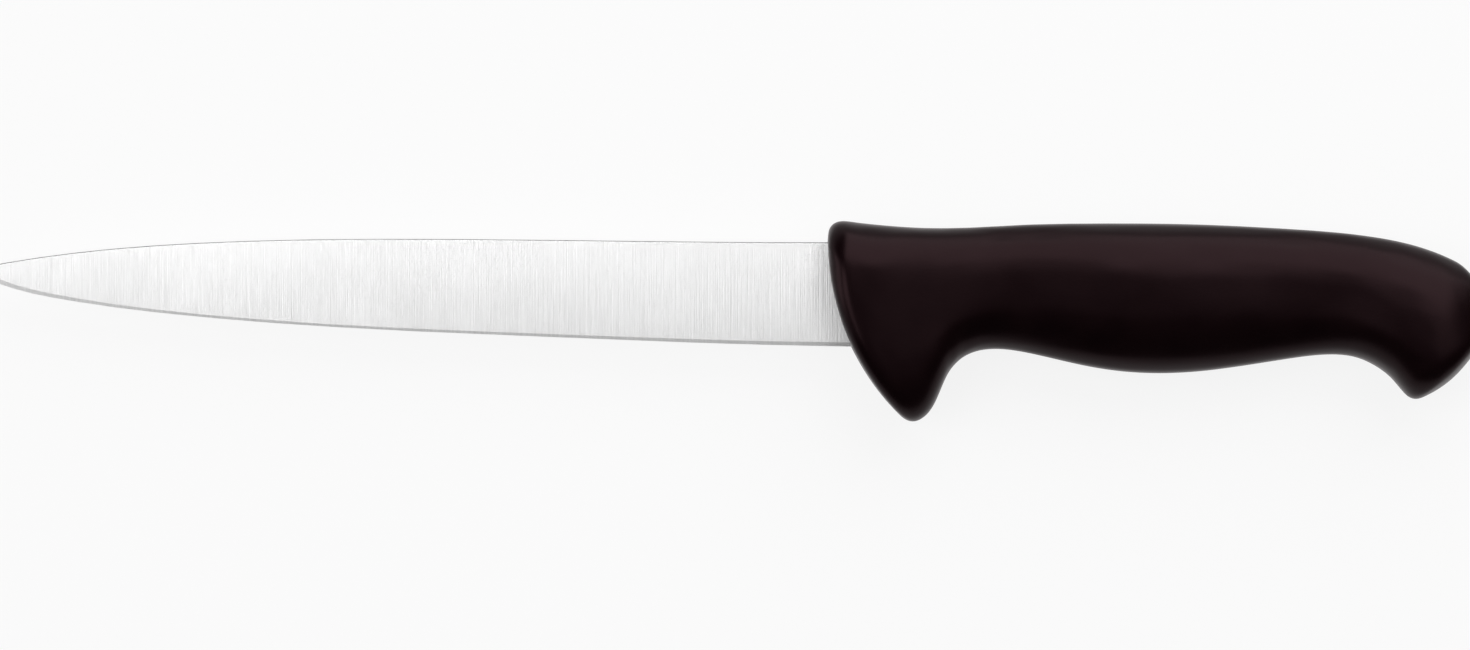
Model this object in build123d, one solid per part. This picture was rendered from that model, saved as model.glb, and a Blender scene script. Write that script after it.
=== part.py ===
from build123d import *
from build123d.topology import SkipClean
import os

# The knife is drawn in its side view: x runs from the handle's front back to the butt, the
# tip lies at minus blade_length, y is zero at the spine where it enters the handle, and z is
# zero in the middle of the sheet. Lengths are in millimetres, angles in degrees.

# Blade
blade_length = 190.0        # handle's front to the tip
blade_depth = 23.2          # spine to cutting edge at the heel
tip_drop = 6.1              # spine level down to the tip
stock_thickness = 2.0       # sheet that the blade is stamped from
edge_thickness = 0.55       # of the ground heel, just behind the cutting edge
tip_thickness = 0.8         # of the ground tip, before it is sharpened
bevel_angle = 18.0          # each side of the cutting edge to the middle of the sheet
spine_rounding = 0.3
heel_cover = 3.76           # how far the cutting edge goes on inside the handle's front face

# Tang, inside the handle
tang_cover = 34.2           # plastic behind the tang's end, up to the butt
tang_depth = 15.0           # at the heel
tang_end_depth = 11.0
tang_drop = 3.0             # spine level down to the tang's upper edge
tang_corner = 3.0
tang_hole = 6.0             # diameter, filled by the handle's plastic
tang_hole_pitch = 28.0
tang_hole_count = 3

# Handle seen from its side
handle_length = 146.2
front_radius = 54.0         # of the bulging front face
front_start_angle = 150.0   # where that arc starts, above the back
front_sweep_angle = 120.0
back_rise = 4.2             # spine level up to the back over the belly
guard_reach = 19.1          # handle's front to the guard's lowest point
guard_depth = 39.95         # spine level down to it
waist_run = 18.4            # from there to the narrow place behind the guard
waist_depth = 23.7
belly_reach = 73.5          # handle's front to the deepest place of the grip
belly_depth = 29.2
neck_run = 17.1             # from the place where the butt's hook begins to its point
neck_depth = 24.9
hook_inset = 17.1           # from the hook's point, before it is rounded, to the butt
hook_depth = 35.55
butt_depth = 17.5           # spine level down to the rearmost place of the butt
butt_crown = 3.0            # how much the butt's face falls back from the middle to the flanks

# Handle seen from above
flats_width = 22.0          # across the flats that the knife lies on, at guard and butt
guard_width = 22.4          # of the guard, before its flats are cut
guard_width_reach = 6.4     # handle's front to the guard's widest place
waist_width = 17.5
belly_width = 21.0
neck_width = 18.4
butt_width = 22.4           # of the butt, before its flats are cut

# Widest line of the flanks, each from the spine's level down
guard_crest = 19.0
waist_crest = 11.5
belly_crest = 12.5
neck_crest = 14.5
butt_crest = 20.0

front_rounding = 3.0        # rim between front face and flanks
butt_rounding = 3.0
section_pitch = 4.6         # along the underside, between the sections of the loft
overrun = 8.0               # how far the loft and the cutting bodies go past what they trim

# Places along the curves, in shares of the stretch that each curve spans
spine_shares = [(0.24, 0.04), (0.48, 0.11), (0.73, -0.03), (0.88, -0.40)]
edge_shares = [(0.16, 0.945), (0.32, 0.875), (0.50, 0.790), (0.73, 0.615), (0.895, 0.380),
               (0.965, 0.187)]
back_lead_share = 1.635     # height of the back where the loft starts, ahead of the front face
back_shares = [(0.07, 0.94), (0.17, 0.74), (0.30, 0.93), (0.41, 1.0), (0.56, 0.95), (0.685, 0.74),
               (0.836, 0.24), (0.897, -0.24), (0.94, -0.81)]
guard_shares = [(0.136, 0.056), (0.212, 0.185), (0.321, 0.438), (0.440, 0.722), (0.647, 0.926)]
belly_front_shares = [(0.25, 0.25), (0.60, 0.77)]
belly_rear_shares = [(0.30, 0.17), (0.75, 0.78)]
hook_shares = [(0.30, 0.06), (0.50, 0.20), (0.73, 0.46), (0.91, 0.79)]
hook_lead_share = 0.6
butt_under_shares = [(0.222, 0.091), (0.532, 0.285), (0.743, 0.501)]
butt_over_shares = [(0.971, 0.377), (0.9405, 0.166), (0.88, -0.14), (0.77, -0.57)]
butt_plan_shares = [(0.5, 0.93), (0.85, 0.72), (1.3, 0.33)]
guard_fullness_share = 0.74     # of the sections: the guard is flat-sided, the grip an oval
grip_fullness_share = 0.58

halvings = 40               # steps that find a place on a curve

# Places that follow from those sizes
front_sagitta = front_radius - (front_radius**2 - blade_depth**2) ** 0.5
heel_inset = front_sagitta + heel_cover
waist_reach = guard_reach + waist_run
hook_reach = handle_length - hook_inset
neck_reach = hook_reach - neck_run
tang_length = handle_length - tang_cover


def between(start, end, shares):
    """Points at shares of the way from start to end, across and up each by its own share."""
    return [
        (start[0] + u * (end[0] - start[0]), start[1] + v * (end[1] - start[1]))
        for u, v in shares
    ]


def height_on(curve, x):
    """y at x on a curve that runs towards plus x all along."""
    low, high = 0.0, 1.0
    for _ in range(halvings):
        middle = (low + high) / 2
        if (curve @ middle).X < x:
            low = middle
        else:
            high = middle
    return (curve @ low).Y


def blade_curves():
    """Spine and cutting edge, both from the heel to the tip."""
    tip = (-blade_length, -tip_drop)
    spine_points = [(-u * blade_length, v * tip_drop) for u, v in spine_shares]
    edge_rise = blade_depth - tip_drop
    edge_points = [(-u * blade_length, -tip_drop - v * edge_rise) for u, v in edge_shares]
    spine = Spline((heel_inset, 0), *spine_points, tip)
    edge = Spline((heel_inset, -blade_depth), *edge_points, tip)
    return spine, edge


def flank_plane():
    """The ground flank on the plus z side: a flat taper from the heel to the tip and the edge."""
    spine_heel = Vector(heel_inset, 0, stock_thickness / 2)
    edge_heel = Vector(heel_inset, -blade_depth, edge_thickness / 2)
    tip = Vector(-blade_length, -tip_drop, tip_thickness / 2)
    along = tip - spine_heel
    return Plane(origin=spine_heel, x_dir=along, z_dir=along.cross(edge_heel - spine_heel))


def sharpening_body(edge):
    """What sharpening leaves of the plus z side: all that lies above a slope from the edge."""
    heel = edge @ 0
    tip = edge @ 1
    outline = [
        edge,
        Line(tip, (tip.X - overrun, overrun)),
        Line((tip.X - overrun, overrun), (heel.X + overrun, overrun)),
        Line((heel.X + overrun, overrun), (heel.X + overrun, heel.Y)),
        Line((heel.X + overrun, heel.Y), heel),
    ]
    slope = Vector(0, 1, 0).rotate(Axis.X, bevel_angle)
    return extrude(make_face(outline), amount=stock_thickness / slope.Z, dir=slope)


def ground_blade():
    """Blade and heel, ground flat on both sides, sharpened, with the spine's corners taken off."""
    spine, edge = blade_curves()
    outline = make_face([spine, edge, Line(spine @ 0, edge @ 0)])
    sheet = extrude(outline, amount=stock_thickness / 2)
    grinding = flank_plane() * Box(
        2 * (blade_length + handle_length),
        2 * (blade_length + handle_length),
        stock_thickness,
        align=(Align.CENTER, Align.CENTER, Align.MIN),
    )
    half = (sheet - grinding) & sharpening_body(edge)
    upper_edges = ShapeList([e for e in half.edges() if (e @ 0.5).Z > 0])
    half = fillet(upper_edges.sort_by(lambda e: (e @ 0.5).Y)[-1], spine_rounding)
    return half + mirror(half, about=Plane.XY)


def tang():
    """Stick tang of the full sheet, with the holes that the plastic flows through."""
    front = heel_inset - stock_thickness
    top = -tang_drop
    taper = (tang_depth - tang_end_depth) / 2
    outline = make_face(
        Polyline(
            (front, top),
            (tang_length, top - taper),
            (tang_length, top - taper - tang_end_depth),
            (front, top - tang_depth),
            close=True,
        )
    )
    outline = fillet(outline.vertices().group_by(Axis.X)[-1], tang_corner)
    middle = top - tang_depth / 2
    holes = [
        Pos(tang_length - (i + 0.5) * tang_hole_pitch, middle) * Circle(tang_hole / 2)
        for i in range(tang_hole_count)
    ]
    return Pos(0, 0, -stock_thickness / 2) * extrude(outline - holes, amount=stock_thickness)


def blade():
    """Ground blade and tang in one piece, with its flanks parted where the handle begins."""
    ground = ground_blade()
    behind_front = front_trim()
    heel_and_tang = (ground & behind_front) + tang()
    with SkipClean():
        return (ground - behind_front) + heel_and_tang


def back_curve():
    """From ahead of the front face over the thumb's place and the back to past the butt."""
    points = [(u * handle_length, v * back_rise) for u, v in back_shares]
    start = (-overrun, back_lead_share * back_rise)
    return Spline(start, *points, (handle_length + overrun, -butt_depth))


def underside_curve():
    """From the guard's point over the finger arch, belly and neck to the butt's hook."""
    guard = (guard_reach, -guard_depth)
    waist = (waist_reach, -waist_depth)
    belly = (belly_reach, -belly_depth)
    neck = (neck_reach, -neck_depth)
    hook = (hook_reach, -hook_depth)
    return Spline(
        (-overrun, -guard_depth),
        (guard_reach / 2, -guard_depth),
        guard,
        *between(guard, waist, guard_shares),
        waist,
        *between(waist, belly, belly_front_shares),
        belly,
        *between(belly, neck, belly_rear_shares),
        neck,
        *between(neck, hook, hook_shares),
        hook,
        (hook_reach + overrun, -hook_depth - overrun),
        (handle_length + overrun, -hook_depth - overrun),
    )


def plan_curve():
    """Half width of the handle along its length."""
    return Spline(
        (-overrun, guard_width / 2),
        (guard_width_reach, guard_width / 2),
        (waist_reach, waist_width / 2),
        (belly_reach, belly_width / 2),
        (neck_reach, neck_width / 2),
        (hook_reach, butt_width / 2),
        *[(hook_reach + u * hook_inset, v * butt_width / 2) for u, v in butt_plan_shares],
    )


def crest_curve():
    """Widest line of the flanks along the handle, seen from its side."""
    return Spline(
        (-overrun, -guard_crest),
        (guard_width_reach, -guard_crest),
        (waist_reach, -waist_crest),
        (belly_reach, -belly_crest),
        (neck_reach, -neck_crest),
        (hook_reach, -butt_crest),
        (handle_length + overrun, -butt_crest),
    )


def fullness_at(x):
    """From the guard's fullness to the grip's, changing evenly behind the guard."""
    way = (x - guard_reach) / (waist_reach - guard_reach)
    way = min(max(way, 0), 1)
    eased = way**2 * (3 - 2 * way)
    return guard_fullness_share + eased * (grip_fullness_share - guard_fullness_share)


def section(x, top, bottom, half_width, crest):
    """Full oval across the handle at x, widest at the crest."""
    full = fullness_at(x)
    upper = [
        (0, top),
        (full * half_width, top),
        (half_width, crest + full * (top - crest)),
        (half_width, crest),
    ]
    lower = [
        (half_width, crest),
        (half_width, crest + full * (bottom - crest)),
        (full * half_width, bottom),
        (0, bottom),
    ]
    quarters = [Bezier(*upper), Bezier(*lower)]
    quarters += [mirror(quarter, about=Plane.YZ) for quarter in reversed(quarters)]
    across = Plane(origin=(x, 0, 0), x_dir=(0, 0, -1), z_dir=(1, 0, 0))
    return across * make_face(quarters)


def front_trim():
    """Everything behind the front face, which is straight across and bulges in the side view."""
    front = CenterArc((front_radius, 0), front_radius, front_start_angle, front_sweep_angle)
    end = handle_length + overrun
    outline = Polyline(front @ 1, (end, (front @ 1).Y), (end, (front @ 0).Y), front @ 0)
    width = guard_width + butt_width
    return extrude(Pos(0, 0, -width / 2) * make_face([front, outline]), amount=width)


def butt_section(inset):
    """Side view in front of the butt's face, drawn in towards the butt's middle by inset."""
    hook = (hook_reach, -hook_depth)
    rearmost = (handle_length, -butt_depth)
    below_neck = (neck_reach, -hook_depth - overrun)
    lead = between(hook, below_neck, [(hook_lead_share, hook_lead_share)])
    over = [(u * handle_length, -v * butt_depth) for u, v in butt_over_shares]
    points = [*lead, hook, *between(hook, rearmost, butt_under_shares), rearmost, *over]
    middle = (hook_reach, -butt_depth)
    kept = 1 - inset / hook_inset
    butt = Spline(*[between(middle, point, [(kept, kept)])[0] for point in points])
    low, high = butt @ 0, butt @ 1
    outline = Polyline(high, (-overrun, high.Y), (-overrun, low.Y), low)
    return make_face([butt, outline])


def butt_trim():
    """Everything in front of the butt's face, which is crowned across as well as along."""
    half_width = butt_width / 2
    reach = half_width + butt_rounding
    ends = butt_section(butt_crown * (reach / half_width) ** 2)
    return loft([Pos(0, 0, -reach) * ends, butt_section(0), Pos(0, 0, reach) * ends])


def flats_trim():
    """Everything between the small flats on the flanks of guard and butt."""
    length = 2 * (handle_length + overrun)
    return Box(length, length, flats_width)


def handle_form():
    """The moulded outside: a loft along guard, grip and hook, trimmed and rounded at both ends."""
    back = back_curve()
    underside = underside_curve()
    plan = plan_curve()
    crest = crest_curve()
    count = round(underside.length / section_pitch)
    places = [underside.position_at(i / count) for i in range(count + 1)]
    sections = [
        section(p.X, height_on(back, p.X), p.Y, height_on(plan, p.X), height_on(crest, p.X))
        for p in places
    ]
    body = loft(sections)
    body = body & front_trim() & butt_trim() & flats_trim()
    front = body.faces().filter_by(GeomType.CYLINDER).sort_by(Axis.X)[0]
    body = fillet(front.edges(), front_rounding)
    butt = body.faces().sort_by(Axis.X)[-1]
    return fillet(butt.edges(), butt_rounding)


steel = blade()
pieces = {
    "blade": steel,
    "handle": handle_form() - steel,    # moulded round the steel, so it fills the tang's holes
}

box = Compound(list(pieces.values())).bounding_box()
base_centre = Pos((box.min.X + box.max.X) / 2, (box.min.Y + box.max.Y) / 2, box.min.Z)

os.makedirs("parts", exist_ok=True)
for name, piece in pieces.items():
    export_step(base_centre.inverse() * piece, f"parts/{name}.step")
    print(name, piece.is_valid, len(piece.solids()), round(piece.volume))
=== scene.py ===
import bpy
import bmesh
import math
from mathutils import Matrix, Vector


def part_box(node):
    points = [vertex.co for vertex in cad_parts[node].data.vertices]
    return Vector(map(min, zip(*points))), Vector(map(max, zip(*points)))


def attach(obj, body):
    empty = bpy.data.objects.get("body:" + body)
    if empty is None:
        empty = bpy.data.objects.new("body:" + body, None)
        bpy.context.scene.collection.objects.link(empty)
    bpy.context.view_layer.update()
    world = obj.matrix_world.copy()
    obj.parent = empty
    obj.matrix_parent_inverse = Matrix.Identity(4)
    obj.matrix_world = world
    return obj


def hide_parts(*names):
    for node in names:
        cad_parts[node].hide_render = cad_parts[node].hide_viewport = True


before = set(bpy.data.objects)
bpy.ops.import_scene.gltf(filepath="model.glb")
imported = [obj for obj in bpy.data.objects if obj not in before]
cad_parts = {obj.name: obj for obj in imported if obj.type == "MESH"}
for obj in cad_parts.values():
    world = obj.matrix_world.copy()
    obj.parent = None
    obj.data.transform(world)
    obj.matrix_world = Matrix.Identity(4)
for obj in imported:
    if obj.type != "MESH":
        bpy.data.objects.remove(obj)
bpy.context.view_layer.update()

# Where the knife lies. Its side view is drawn in millimetres from the place where the spine meets the
# handle's front face: x runs to the butt and y up to the back of the handle
knife = {
    "handleFront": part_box("handle")[0].x,
    "spineBelowTop": 0.00482,    # the handle's highest corner stands this far above the spine
    "middle": (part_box("handle")[0].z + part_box("handle")[1].z) / 2,
    "bladeTip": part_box("blade")[0].x,
}
knife["spine"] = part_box("handle")[1].y - knife["spineBelowTop"]

photo = {
    "millimetresPerPixel": 0.2215,
    "widthPixels": 1470,
    "handleFrontPixel": 827.7,   # handle's front face, along the picture
    "spinePixel": 242.0,         # spine at the handle, down the picture
    "middlePixel": (735, 325),
}


def onKnife(x, y):
    return Vector((knife["handleFront"] + x / 1000, knife["spine"] + y / 1000, knife["middle"]))


# Camera, straight above the knife's flat side as in the photograph
camera = {"distance": 1.6, "sensor": 36.0}


def addCamera():
    scale = photo["millimetresPerPixel"] / 1000
    x = knife["handleFront"] + (photo["middlePixel"][0] - photo["handleFrontPixel"]) * scale
    y = knife["spine"] - (photo["middlePixel"][1] - photo["spinePixel"]) * scale
    bpy.ops.object.camera_add(location=(x, y, knife["middle"] + camera["distance"]), rotation=(0, 0, 0))
    view = bpy.context.object
    view.name = "camera"
    view.data.sensor_width = camera["sensor"]
    view.data.lens = camera["sensor"] * camera["distance"] / (photo["widthPixels"] * scale)
    bpy.context.scene.camera = view
    print("camera:", round(view.data.lens, 1), "mm lens")


addCamera()

# Light: a large soft lamp beyond the handle's back, a high one at the tip's side, which the brushed blade
# spreads towards the camera, a low one there for the guard's front, and weaker ones beyond the butt and above
light = {
    "world": 0.11,
    "lamps": {
        # place, size, radiance
        "tipHigh": ((-2.2, 0.3, 3.6), (2.1, 2.1), 3.05),
        "tipLow": ((-2.2, 0.2, 0.9), (1.6, 1.2), 2.6),
        "butt": ((1.3, 0.2, 2.4), (1.2, 1.4), 1.2),
        "back": ((0.40, 1.10, 0.80), (1.5, 1.5), 3.1),
        "top": ((0.0, 0.01, 2.6), (2.0, 2.0), 0.28),
    },
}


def addLamp(name, place, size, radiance):
    bpy.ops.object.light_add(type="AREA", location=place)
    lamp = bpy.context.object
    lamp.name = name
    lamp.data.shape = "RECTANGLE"
    lamp.data.size, lamp.data.size_y = size
    lamp.data.energy = radiance * math.pi * size[0] * size[1]
    lamp.rotation_euler = (-Vector(place)).to_track_quat("-Z", "Y").to_euler()


def addLight():
    world = bpy.data.worlds.new("studio")
    bpy.context.scene.world = world
    world.use_nodes = True
    background = world.node_tree.nodes["Background"]
    background.inputs["Color"].default_value = (1, 1, 1, 1)
    background.inputs["Strength"].default_value = light["world"]
    for name, (place, size, radiance) in light["lamps"].items():
        addLamp(name, place, size, radiance)
    print("lamps:", ", ".join(light["lamps"]))


addLight()


# Small helpers for the node trees
def newMaterial(name):
    material = bpy.data.materials.new(name)
    material.use_nodes = True
    return material, material.node_tree


def addNode(tree, kind, values=None, **settings):
    node = tree.nodes.new("ShaderNode" + kind)
    for setting, value in settings.items():
        setattr(node, setting, value)
    for socket, value in (values or {}).items():
        node.inputs[socket].default_value = value
    return node


def addMath(tree, operation, first, second):
    node = addNode(tree, "Math", operation=operation)
    for socket, value in zip(node.inputs, (first, second)):
        if isinstance(value, (int, float)):
            socket.default_value = value
        else:
            tree.links.new(value, socket)
    return node.outputs[0]


def wear(piece, material):
    piece.data.materials.clear()
    piece.data.materials.append(material)


# Floor and backdrop: white paper to the eye and in reflections, plain paper to the light
studio = {
    "radius": 5.0,
    "wallHeight": 0.8,
    "corners": 64,
    "paper": 0.956,              # brightness of the paper as it is seen, where 1 is white
    "floorColor": 0.93,
    "floorSeen": 0.10,           # how much of that brightness is lit, and so can fall in shadow
    "floorLight": 0.9,           # how brightly the lamps light it
}


def seenDirectly(tree):
    path = addNode(tree, "LightPath")
    direct = addMath(tree, "MAXIMUM", path.outputs["Is Camera Ray"], path.outputs["Is Glossy Ray"])
    return addMath(tree, "MAXIMUM", direct, path.outputs["Is Transmission Ray"])


def addFloor():
    bpy.ops.mesh.primitive_circle_add(
        vertices=studio["corners"], radius=studio["radius"], fill_type="NGON", location=(0, 0, 0))
    floor = bpy.context.object
    floor.name = "floor"
    material, tree = newMaterial("floor")
    tree.nodes.remove(tree.nodes["Principled BSDF"])
    plain = addNode(tree, "BsdfDiffuse", {"Color": (studio["floorColor"],) * 3 + (1,)})
    seen = addNode(tree, "BsdfDiffuse", {"Color": (studio["floorSeen"],) * 3 + (1,)})   # holds the shadow
    unlit = studio["paper"] - studio["floorSeen"] * studio["floorLight"]
    glow = addNode(tree, "Emission", {"Strength": unlit})
    both = addNode(tree, "AddShader")
    tree.links.new(seen.outputs[0], both.inputs[0])
    tree.links.new(glow.outputs[0], both.inputs[1])
    choice = addNode(tree, "MixShader")
    tree.links.new(seenDirectly(tree), choice.inputs[0])
    tree.links.new(plain.outputs[0], choice.inputs[1])
    tree.links.new(both.outputs[0], choice.inputs[2])
    tree.links.new(choice.outputs[0], tree.nodes["Material Output"].inputs["Surface"])
    wear(floor, material)


def addWall():
    height = studio["wallHeight"]
    bpy.ops.mesh.primitive_cylinder_add(
        vertices=studio["corners"], radius=studio["radius"], depth=height, end_fill_type="NOTHING",
        location=(0, 0, height / 2))
    wall = bpy.context.object
    wall.name = "backdrop"
    material, tree = newMaterial("backdrop")
    tree.nodes.remove(tree.nodes["Principled BSDF"])
    strength = addNode(tree, "MapRange", {"To Min": light["world"], "To Max": studio["paper"]})
    tree.links.new(seenDirectly(tree), strength.inputs["Value"])
    paper = addNode(tree, "Emission")
    tree.links.new(strength.outputs[0], paper.inputs["Strength"])
    tree.links.new(paper.outputs[0], tree.nodes["Material Output"].inputs["Surface"])
    wear(wall, material)


addFloor()
addWall()
print("floor and backdrop")


# Soft patches: where fingers and cloths have polished or dulled a surface, used by steel and plastic
patches = {
    "detail": 2.0,
    "low": 0.38,                 # noise at which a patch has its lowest value
    "high": 0.62,                # and its highest
}


def softPatches():
    group = bpy.data.node_groups.new("soft_patches", "ShaderNodeTree")
    group.interface.new_socket("Vector", in_out="INPUT", socket_type="NodeSocketVector")
    for name in ("Per Metre", "Lowest", "Highest"):
        group.interface.new_socket(name, in_out="INPUT", socket_type="NodeSocketFloat")
    group.interface.new_socket("Value", in_out="OUTPUT", socket_type="NodeSocketFloat")
    given = group.nodes.new("NodeGroupInput")
    result = group.nodes.new("NodeGroupOutput")
    cloud = addNode(group, "TexNoise", {"Detail": patches["detail"]})
    spread = addNode(group, "MapRange", {"From Min": patches["low"], "From Max": patches["high"]},
                     interpolation_type="SMOOTHSTEP")
    group.links.new(given.outputs["Vector"], cloud.inputs["Vector"])
    group.links.new(given.outputs["Per Metre"], cloud.inputs["Scale"])
    group.links.new(cloud.outputs[0], spread.inputs["Value"])
    group.links.new(given.outputs["Lowest"], spread.inputs["To Min"])
    group.links.new(given.outputs["Highest"], spread.inputs["To Max"])
    group.links.new(spread.outputs[0], result.inputs["Value"])
    return group


softPatchesGroup = softPatches()


def addPatches(tree, place, size, lowest, highest):
    node = addNode(tree, "Group", node_tree=softPatchesGroup)
    node.inputs["Per Metre"].default_value = 1000 / size
    node.inputs["Lowest"].default_value = lowest
    node.inputs["Highest"].default_value = highest
    tree.links.new(place, node.inputs["Vector"])
    return node.outputs[0]


# Stainless blade, ground across and brushed: sizes in millimetres
steel = {
    "depth": 23.2,               # spine to cutting edge
    # painted light and shade: the blade is coloured lighter at the spine and darker towards the cutting edge,
    # as if lit from beyond the spine
    "spinePaintedLitColor": 0.97,
    "edgePaintedShadeColor": 0.79,
    "roughness": (0.43, 0.47),
    "patchSize": 18.0,
    "lineWidth": 0.10,           # brush lines, from spine to edge
    "lineLength": 20.0,
    "lineHeight": 0.09,
    "lineNoise": (3.0, 0.55),    # detail and roughness of the noise
    "streakWidth": 0.50,         # lighter and darker streaks of the grinding
    "streakLength": 8.0,
    "streakNoise": (4.0, 0.6),
    "streakRange": (0.3, 0.7),   # noise of the darkest and of the lightest streak
    "spineStreaks": 0.010,       # how far they change the colour
    "edgeStreaks": 0.028,
    "tipStreaks": 2.2,           # times as much at the tip
    "spinePaintedShade": 0.22,          # painted shade: share of the colour kept on the spine's rounding, a dark line along the spine
    "spineTurn": (0.1, 0.4),     # y of the surface normal, from the flank to the spine
    "honedRoughness": 0.30,      # more than the flanks, on the sharpened bevel
    "honedTurn": (-0.1, -0.25),  # y of the surface normal, from the flank to the bevel
}


def stretchedNoise(tree, place, width, length, detail, roughness):
    # width along the blade and length across it, in millimetres
    mapping = addNode(tree, "Mapping", {"Scale": (1000 / width, 1000 / length, 1000 / length)})
    tree.links.new(place, mapping.inputs["Vector"])
    noise = addNode(tree, "TexNoise", {"Scale": 1.0, "Detail": detail, "Roughness": roughness})
    tree.links.new(mapping.outputs[0], noise.inputs["Vector"])
    return noise.outputs[0]


def fromTo(tree, value, start, end, first, last):
    span = addNode(tree, "MapRange", {"From Min": start, "From Max": end, "To Min": first, "To Max": last})
    tree.links.new(value, span.inputs["Value"])
    return span.outputs[0]


def steelMaterial():
    material, tree = newMaterial("ground_stainless_steel")
    shader = tree.nodes["Principled BSDF"]
    shader.inputs["Metallic"].default_value = 1.0
    place = addNode(tree, "TexCoord").outputs["Object"]
    brush = stretchedNoise(tree, place, steel["lineWidth"], steel["lineLength"], *steel["lineNoise"])
    relief = addNode(tree, "Bump", {"Strength": 1.0, "Distance": steel["lineHeight"] / 1000})
    tree.links.new(brush, relief.inputs["Height"])
    tree.links.new(relief.outputs[0], shader.inputs["Normal"])
    apart = addNode(tree, "SeparateXYZ")
    tree.links.new(place, apart.inputs[0])
    x, y = apart.outputs["X"], apart.outputs["Y"]
    edge = knife["spine"] - steel["depth"] / 1000
    # painted light and shade: lighter at the spine, darker towards the cutting edge
    paintedLitToShadedTone = fromTo(tree, y, knife["spine"], edge, steel["spinePaintedLitColor"], steel["edgePaintedShadeColor"])
    noise = stretchedNoise(tree, place, steel["streakWidth"], steel["streakLength"], *steel["streakNoise"])
    streaks = fromTo(tree, noise, *steel["streakRange"], -1.0, 1.0)
    strength = fromTo(tree, y, knife["spine"], edge, steel["spineStreaks"], steel["edgeStreaks"])
    nearTip = fromTo(tree, x, knife["handleFront"], knife["bladeTip"], 1.0, steel["tipStreaks"])
    change = addMath(tree, "MULTIPLY", addMath(tree, "MULTIPLY", streaks, strength), nearTip)
    facing = addNode(tree, "SeparateXYZ")
    tree.links.new(addNode(tree, "NewGeometry").outputs["True Normal"], facing.inputs[0])
    # painted shade: where the surface turns to the spine, its colour is darkened
    spinePaintedShade = fromTo(tree, facing.outputs["Y"], *steel["spineTurn"], 1.0, steel["spinePaintedShade"])
    color = addMath(tree, "MULTIPLY", addMath(tree, "ADD", paintedLitToShadedTone, change), spinePaintedShade)
    tree.links.new(color, shader.inputs["Base Color"])
    honed = fromTo(tree, facing.outputs["Y"], *steel["honedTurn"], 0.0, steel["honedRoughness"])
    rubbed = addPatches(tree, place, steel["patchSize"], *steel["roughness"])
    tree.links.new(addMath(tree, "ADD", rubbed, honed), shader.inputs["Roughness"])
    return material


wear(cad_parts["blade"], steelMaterial())
print("ground steel on the blade")

# Black polypropylene from a finely eroded mould: sizes in millimetres
plastic = {
    "color": (0.0015, 0.0002, 0.0005),
    "rubbedColor": (0.0024, 0.0007, 0.0010),
    "ior": 1.22,
    "tint": (1.0, 0.58, 0.64),
    "sheen": 0.025,              # soft light along the outlines
    "sheenTint": (1.0, 0.25, 0.35),
    "sheenRoughness": 0.4,
    "roughness": (0.29, 0.33),
    "patchSize": 22.0,           # of the smoother and rougher places
    "rubbedSize": 11.0,          # of the places with the rubbed colour
    "grainSize": 0.35,
    "grainDetail": 2.0,
    "grainHeight": 0.004,
    "seamHalfWidth": 0.14,       # faint parting line of the mould, round the handle's middle plane
    "seamHeight": 0.03,
}


def plasticMaterial():
    material, tree = newMaterial("black_polypropylene")
    shader = tree.nodes["Principled BSDF"]
    shader.inputs["IOR"].default_value = plastic["ior"]
    shader.inputs["Specular Tint"].default_value = (*plastic["tint"], 1)
    shader.inputs["Sheen Weight"].default_value = plastic["sheen"]
    shader.inputs["Sheen Tint"].default_value = (*plastic["sheenTint"], 1)
    shader.inputs["Sheen Roughness"].default_value = plastic["sheenRoughness"]
    place = addNode(tree, "TexCoord").outputs["Object"]
    rubbed = addPatches(tree, place, plastic["rubbedSize"], 0.0, 1.0)
    color = addNode(tree, "Mix", data_type="RGBA")
    tree.links.new(rubbed, color.inputs["Factor"])
    color.inputs["A"].default_value = (*plastic["color"], 1)
    color.inputs["B"].default_value = (*plastic["rubbedColor"], 1)
    tree.links.new(color.outputs["Result"], shader.inputs["Base Color"])
    tree.links.new(
        addPatches(tree, place, plastic["patchSize"], *plastic["roughness"]), shader.inputs["Roughness"])
    grain = addNode(
        tree, "TexNoise", {"Scale": 1000 / plastic["grainSize"], "Detail": plastic["grainDetail"]})
    tree.links.new(place, grain.inputs["Vector"])
    apart = addNode(tree, "SeparateXYZ")
    tree.links.new(place, apart.inputs[0])
    fromMiddle = addMath(tree, "ABSOLUTE", addMath(tree, "SUBTRACT", apart.outputs["Z"], knife["middle"]), 0)
    seam = fromTo(tree, fromMiddle, 0, plastic["seamHalfWidth"] / 1000, plastic["seamHeight"] / 1000, 0)
    height = addMath(tree, "MULTIPLY", grain.outputs[0], plastic["grainHeight"] / 1000)
    relief = addNode(tree, "Bump", {"Strength": 1.0, "Distance": 1.0})
    tree.links.new(addMath(tree, "ADD", height, seam), relief.inputs["Height"])
    tree.links.new(relief.outputs[0], shader.inputs["Normal"])
    return material


blackPlastic = plasticMaterial()
wear(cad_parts["handle"], blackPlastic)

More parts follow.
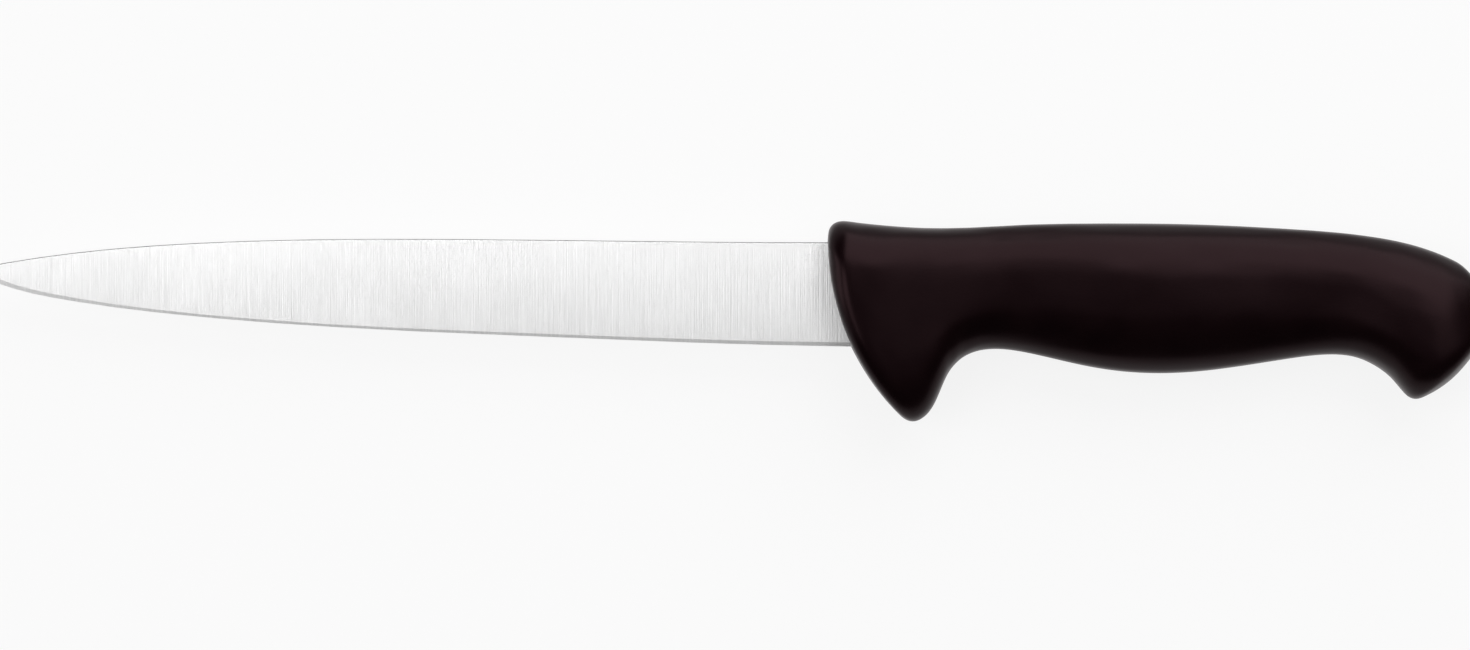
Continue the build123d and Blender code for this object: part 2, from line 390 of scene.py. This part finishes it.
# Moulded handle, extruded ring by ring from the front face to the butt, smoothed and laid on the CAD form
handle = {
    "corners": 24,               # round each ring
    # back x, back y, underside x, underside y, width, bow: how far the ring's middle bulges to the blade
    "rings": [
        (0.03, 1.9, 15.2, -37.6, 16.0, 4.3),
        (0.9, 3.9, 16.9, -39.1, 20.0, 4.2),
        (3.0, 4.7, 18.9, -39.9, 21.8, 4.0),
        (7.0, 4.3, 20.9, -39.3, 21.9, 3.2),
        (11.5, 3.9, 22.3, -37.9, 21.2, 2.4),
        (16.0, 3.5, 23.6, -35.9, 20.4, 1.6),
        (20.5, 3.2, 24.9, -33.0, 19.5, 0.9),
        (25.0, 3.1, 26.2, -30.0, 18.7, 0.4),
        (29.0, 3.1, 27.9, -27.3, 18.1, 0.2),
        (33.0, 3.3, 30.6, -25.1, 17.7, 0.1),
        (37.5, 3.6, 34.2, -24.0, 17.5, 0.1),
        (42.0, 3.8, 38.5, -23.7, 17.6, 0.1),
        (47.5, 4.0, 44.0, -24.5, 18.1, 0.1),
        (54.0, 4.1, 51.5, -26.3, 18.9, 0.1),
        (61.0, 4.2, 59.5, -28.0, 19.9, 0.1),
        (69.0, 4.2, 68.0, -29.0, 20.8, 0.1),
        (77.0, 4.1, 76.5, -29.1, 20.9, 0.1),
        (85.0, 3.9, 85.0, -28.5, 20.1, 0.1),
        (93.0, 3.5, 93.5, -27.3, 19.0, 0.1),
        (100.5, 3.1, 101.3, -26.0, 18.1, -0.1),
        (107.5, 2.6, 108.5, -25.0, 18.0, -0.1),
        (114.0, 2.0, 114.4, -25.0, 18.8, -0.2),
        (119.5, 1.4, 118.6, -26.1, 19.9, -0.6),
        (124.0, 0.7, 121.6, -27.7, 20.9, -1.4),
        (128.0, -0.1, 124.0, -29.4, 21.6, -2.6),
        (131.5, -1.1, 126.0, -31.4, 22.0, -4.0),
        (134.8, -2.2, 127.6, -33.4, 21.6, -6.0),
        (138.0, -3.6, 129.3, -35.2, 20.6, -8.3),
        (140.6, -4.9, 131.2, -34.9, 18.2, -9.2),
        (141.8, -7.4, 132.4, -33.0, 14.0, -9.0),
    ],
    "frontEnd": 8,               # x about which the open ends lie
    "buttEnd": 137,
    "endReach": 60,
    "capSpan": 4,                # quads across each end
    "capOffset": 10,             # corner of the ring where they start
    "wrappedSmoothings": 1,      # subdivisions that are laid on the CAD form
    "freeSmoothings": 2,         # and those after them, which soften its flats
    "nearly": 1e-5,              # metres within which corners count as level
}


def ringPlace(ring):
    backX, backY, undersideX, undersideY = ring[:4]
    back = onKnife(backX, backY)
    underside = onKnife(undersideX, undersideY)
    across = back - underside
    return (back + underside) / 2, across.length, math.atan2(across.x, across.y)


def turnRing(angle, centre):
    bpy.ops.transform.rotate(value=angle, orient_axis="Z", center_override=centre)


def bowFirstRing(piece, centre, length, bow):
    half = handle["corners"] // 2
    for corner in range(1, half):
        height = math.cos(math.pi * corner / half)
        bpy.ops.mesh.select_all(action="DESELECT")
        mesh = bmesh.from_edit_mesh(piece.data)
        for vertex in mesh.verts:
            offset = vertex.co.y - centre.y - height * length / 2
            vertex.select_set(abs(offset) < handle["nearly"])
        bmesh.update_edit_mesh(piece.data)
        bpy.ops.transform.translate(value=(-bow / 1000 * (1 - height**2), 0, 0))
    bpy.ops.mesh.select_all(action="SELECT")


def extrudeRing(before, ring):
    oldCentre, oldLength, oldTilt = ringPlace(before)
    centre, length, tilt = ringPlace(ring)
    oldWidth, oldBow = before[4:]
    width, bow = ring[4:]
    bpy.ops.mesh.extrude_region_move(TRANSFORM_OT_translate={"value": centre - oldCentre})
    turnRing(-oldTilt, centre)
    bpy.ops.transform.resize(
        value=(bow / oldBow, length / oldLength, width / oldWidth), center_override=centre)
    turnRing(tilt, centre)


def fillEnd(piece, x):
    bpy.ops.mesh.select_all(action="DESELECT")
    bpy.ops.mesh.select_mode(type="EDGE")
    mesh = bmesh.from_edit_mesh(piece.data)
    for edge in mesh.edges:
        middle = (edge.verts[0].co + edge.verts[1].co) / 2
        near = abs(middle.x - onKnife(x, 0).x) < handle["endReach"] / 1000
        edge.select_set(edge.is_boundary and near)
    bmesh.update_edit_mesh(piece.data)
    bpy.ops.mesh.fill_grid(span=handle["capSpan"], offset=handle["capOffset"])


def smoothOn(piece, form):
    for smoothing in range(handle["wrappedSmoothings"] + handle["freeSmoothings"]):
        subdivision = piece.modifiers.new("subdivision", "SUBSURF")
        subdivision.levels = subdivision.render_levels = 1
        bpy.ops.object.modifier_apply(modifier=subdivision.name)
        if smoothing < handle["wrappedSmoothings"]:
            wrap = piece.modifiers.new("wrap", "SHRINKWRAP")
            wrap.target = form
            wrap.wrap_method = "NEAREST_SURFACEPOINT"
            bpy.ops.object.modifier_apply(modifier=wrap.name)
    bpy.ops.object.shade_smooth()


def makeHandle():
    rings = handle["rings"]
    centre, length, tilt = ringPlace(rings[0])
    width, bow = rings[0][4:]
    bpy.ops.object.select_all(action="DESELECT")
    bpy.ops.mesh.primitive_circle_add(
        vertices=handle["corners"], radius=length / 2, location=centre, rotation=(0, math.pi / 2, 0))
    piece = bpy.context.object
    piece.name = "moulded_handle"
    bpy.ops.object.transform_apply(location=True, rotation=True, scale=True)
    bpy.ops.object.mode_set(mode="EDIT")
    bowFirstRing(piece, centre, length, bow)
    bpy.ops.transform.resize(value=(1, 1, width / 1000 / length), center_override=centre)
    turnRing(tilt, centre)
    for before, ring in zip(rings, rings[1:]):
        extrudeRing(before, ring)
    fillEnd(piece, handle["frontEnd"])
    fillEnd(piece, handle["buttEnd"])
    bpy.ops.mesh.select_all(action="SELECT")
    bpy.ops.mesh.normals_make_consistent(inside=False)
    # corners, edges and faces in the same order each run
    bpy.ops.mesh.sort_elements(type="CURSOR_DISTANCE", elements={"VERT", "EDGE", "FACE"})
    bpy.ops.object.mode_set(mode="OBJECT")
    smoothOn(piece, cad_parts["handle"])
    wear(piece, blackPlastic)
    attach(piece, "root")
    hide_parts("handle")
    print("moulded handle:", len(piece.data.polygons), "faces")


makeHandle()

bpy.context.scene.view_settings.view_transform = "Standard"
